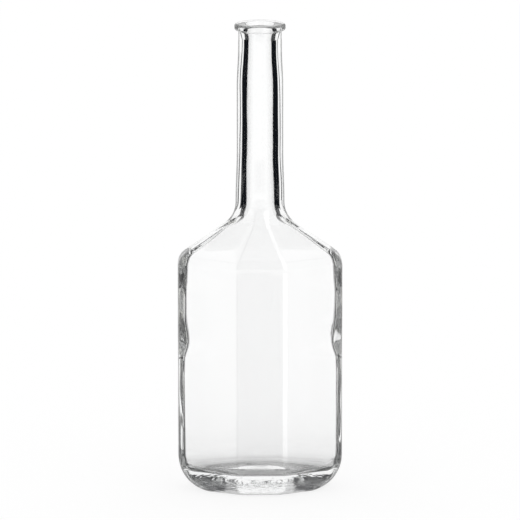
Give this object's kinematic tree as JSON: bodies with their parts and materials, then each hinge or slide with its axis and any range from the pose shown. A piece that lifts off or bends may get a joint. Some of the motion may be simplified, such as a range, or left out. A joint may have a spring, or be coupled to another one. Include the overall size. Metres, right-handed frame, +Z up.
{
  "type": "glass bottle",
  "caption": "Clear glass flask with a flattened eight-sided body, sloping shoulders, a long round neck and a beaded cork mouth, empty and open.",
  "frame": {"origin": "centre of the footprint, on the surface that the bottle stands on", "axes": "+Z up along the neck, +X across the wide panel, the front panel faces -Y"},
  "size_m": [0.1084, 0.062, 0.312],
  "materials": {
    "clear_glass": "clear flint glass, glossy, faint cool tint where it is thick"
  },
  "bodies": {
    "root": {"bottle": "clear_glass"}
  },
  "joints": []
}
